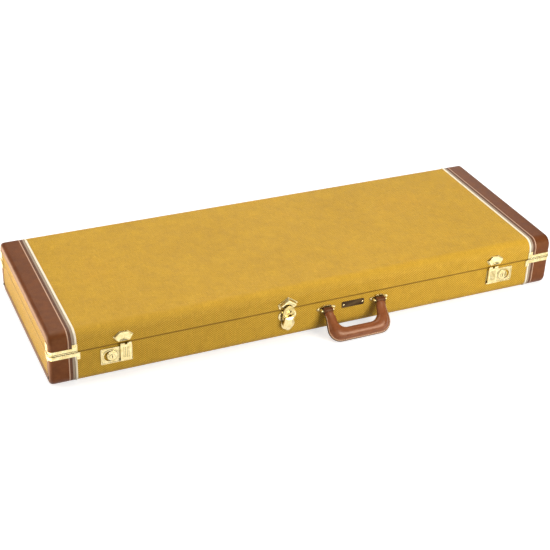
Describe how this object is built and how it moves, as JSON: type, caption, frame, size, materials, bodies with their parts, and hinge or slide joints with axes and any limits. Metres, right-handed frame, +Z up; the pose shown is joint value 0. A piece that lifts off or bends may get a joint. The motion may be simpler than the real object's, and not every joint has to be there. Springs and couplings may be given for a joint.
{
  "type": "guitar case",
  "caption": "Rectangular hard-shell guitar case with a hinged lid, woven cloth covering, leather ends, brass latches, swinging handle and padded inside.",
  "frame": {"origin": "centre of the flat bottom of the closed case", "axes": "+X along the length towards the end with the guitar's body, +Y towards the hinges, -Y is the handle side, +Z up"},
  "size_m": [1.0638, 0.4343, 0.1122],
  "materials": {
    "tweed": "woven tweed cloth, lacquered",
    "leather": "brown grained leather, satin",
    "leather_pull": "brown leather, satin",
    "wood": "birch plywood, sanded",
    "piping": "cream piping, smooth",
    "trim": "woven braid strips",
    "brass": "lacquered brass plate, polished",
    "brass_moving": "lacquered brass plate, polished",
    "brass_nail": "polished brass",
    "pin_steel": "plated steel",
    "core_steel": "plain steel strip",
    "plush": "deep red plush pile",
    "nameplate": "dark enamelled plate, blank",
    "stud": "dark domed stud"
  },
  "bodies": {
    "base": {"base_shell": "wood", "base_valance": "wood", "base_cover": "tweed", "base_end_panels": "tweed", "base_end_cap_left": "leather", "base_end_cap_right": "leather", "base_piping": "piping", "base_trim_strips": "trim", "base_corner_clamps": "brass", "clamp_nails_base": "brass_nail", "end_studs": "stud", "base_cushion": "plush", "neck_rest": "plush", "accessory_box": "plush", "hinge_leaves_base": "brass", "hinge_pins": "pin_steel", "hinge_screws_base": "brass_nail", "left_latch_plate": "brass", "right_latch_plate": "brass", "latch_pins": "pin_steel", "centre_latch_plate": "brass", "latch_nails_base": "brass_nail", "handle_bracket_left": "brass", "handle_bracket_right": "brass", "handle_bracket_rivets": "brass_nail", "nameplate": "nameplate", "nameplate_rivets": "brass_nail", "lid_stay_anchor_base": "brass"},
    "lid": {"lid_shell": "wood", "lid_cover": "tweed", "lid_end_panels": "tweed", "lid_end_cap_left": "leather", "lid_end_cap_right": "leather", "lid_piping": "piping", "lid_trim_strips": "trim", "lid_corner_clamps": "brass", "clamp_nails_lid": "brass_nail", "lid_pad": "plush", "hinge_leaves_lid": "brass", "hinge_screws_lid": "brass_nail", "left_keeper": "brass", "right_keeper": "brass", "centre_catch": "brass", "latch_nails_lid": "brass_nail", "lid_stay_anchor_lid": "brass"},
    "handle": {"handle_leather": "leather", "handle_core": "core_steel"},
    "left_hasp_body": {"left_hasp": "brass_moving"},
    "right_hasp_body": {"right_hasp": "brass_moving"},
    "left_slide_body": {"left_latch_slide": "brass_moving"},
    "right_slide_body": {"right_latch_slide": "brass_moving"},
    "left_lock_body": {"left_lock_cylinder": "brass_moving"},
    "right_lock_body": {"right_lock_cylinder": "brass_moving"},
    "centre_lever_body": {"centre_lever": "brass_moving", "centre_link_pin": "pin_steel"},
    "centre_link_body": {"centre_link": "brass_moving"},
    "accessory_lid_body": {"accessory_lid": "plush", "accessory_lid_pull": "leather_pull"},
    "stay_lower_body": {"lid_stay_lower": "brass_moving"},
    "stay_upper_body": {"lid_stay_upper": "brass_moving"}
  },
  "joints": [
    {"name": "lid_hinge", "type": "hinge", "parent": "base", "child": "lid", "pos_m": [0, 0.1918, 0.069], "axis": [-1, 0, 0], "range_deg": [0, 105.05]},
    {"name": "handle_swing", "type": "hinge", "parent": "base", "child": "handle", "pos_m": [0.074, -0.196, 0.0525], "axis": [-1, 0, 0], "range_deg": [-28, 130]},
    {"name": "left_hasp_hinge", "type": "hinge", "parent": "base", "child": "left_hasp_body", "pos_m": [-0.389, -0.1912, 0.0334], "axis": [1, 0, 0], "range_deg": [0, 110]},
    {"name": "right_hasp_hinge", "type": "hinge", "parent": "base", "child": "right_hasp_body", "pos_m": [0.393, -0.1912, 0.0334], "axis": [1, 0, 0], "range_deg": [0, 110]},
    {"name": "left_slide_travel", "type": "slide", "parent": "base", "child": "left_slide_body", "axis": [-1, 0, 0], "range_m": [0, 0.005]},
    {"name": "right_slide_travel", "type": "slide", "parent": "base", "child": "right_slide_body", "axis": [1, 0, 0], "range_m": [0, 0.005]},
    {"name": "left_lock_turn", "type": "hinge", "parent": "left_slide_body", "child": "left_lock_body", "pos_m": [-0.4145, -0.1896, 0.0455], "axis": [0, -1, 0], "range_deg": [0, 90]},
    {"name": "right_lock_turn", "type": "hinge", "parent": "right_slide_body", "child": "right_lock_body", "pos_m": [0.4185, -0.1896, 0.0455], "axis": [0, -1, 0], "range_deg": [0, 90]},
    {"name": "centre_lever_hinge", "type": "hinge", "parent": "base", "child": "centre_lever_body", "pos_m": [-0.066, -0.1938, 0.056], "axis": [-1, 0, 0], "range_deg": [0, 95]},
    {"name": "centre_link_hinge", "type": "hinge", "parent": "centre_lever_body", "child": "centre_link_body", "pos_m": [-0.066, -0.1938, 0.051], "axis": [1, 0, 0], "range_deg": [0, 110]},
    {"name": "accessory_lid_hinge", "type": "hinge", "parent": "base", "child": "accessory_lid_body", "pos_m": [-0.072, -0.17, 0.0592], "axis": [1, 0, 0], "range_deg": [0, 85]},
    {"name": "stay_lower_hinge", "type": "hinge", "parent": "base", "child": "stay_lower_body", "pos_m": [-0.515, 0.06, 0.064], "axis": [-1, 0, 0], "range_deg": [0, 139.68]},
    {"name": "stay_upper_hinge", "type": "hinge", "parent": "lid", "child": "stay_upper_body", "pos_m": [-0.513, 0.06, 0.08], "axis": [1, 0, 0], "range_deg": [0, 137.19]}
  ],
  "couplings": [
    {"joint": "centre_link_hinge", "follows": "centre_lever_hinge", "ratio": 1.15},
    {"joint": "accessory_lid_hinge", "follows": "lid_hinge", "ratio": 0.8},
    {"joint": "stay_lower_hinge", "follows": "lid_hinge", "ratio": 1.3287},
    {"joint": "stay_upper_hinge", "follows": "lid_hinge", "ratio": 1.305}
  ]
}
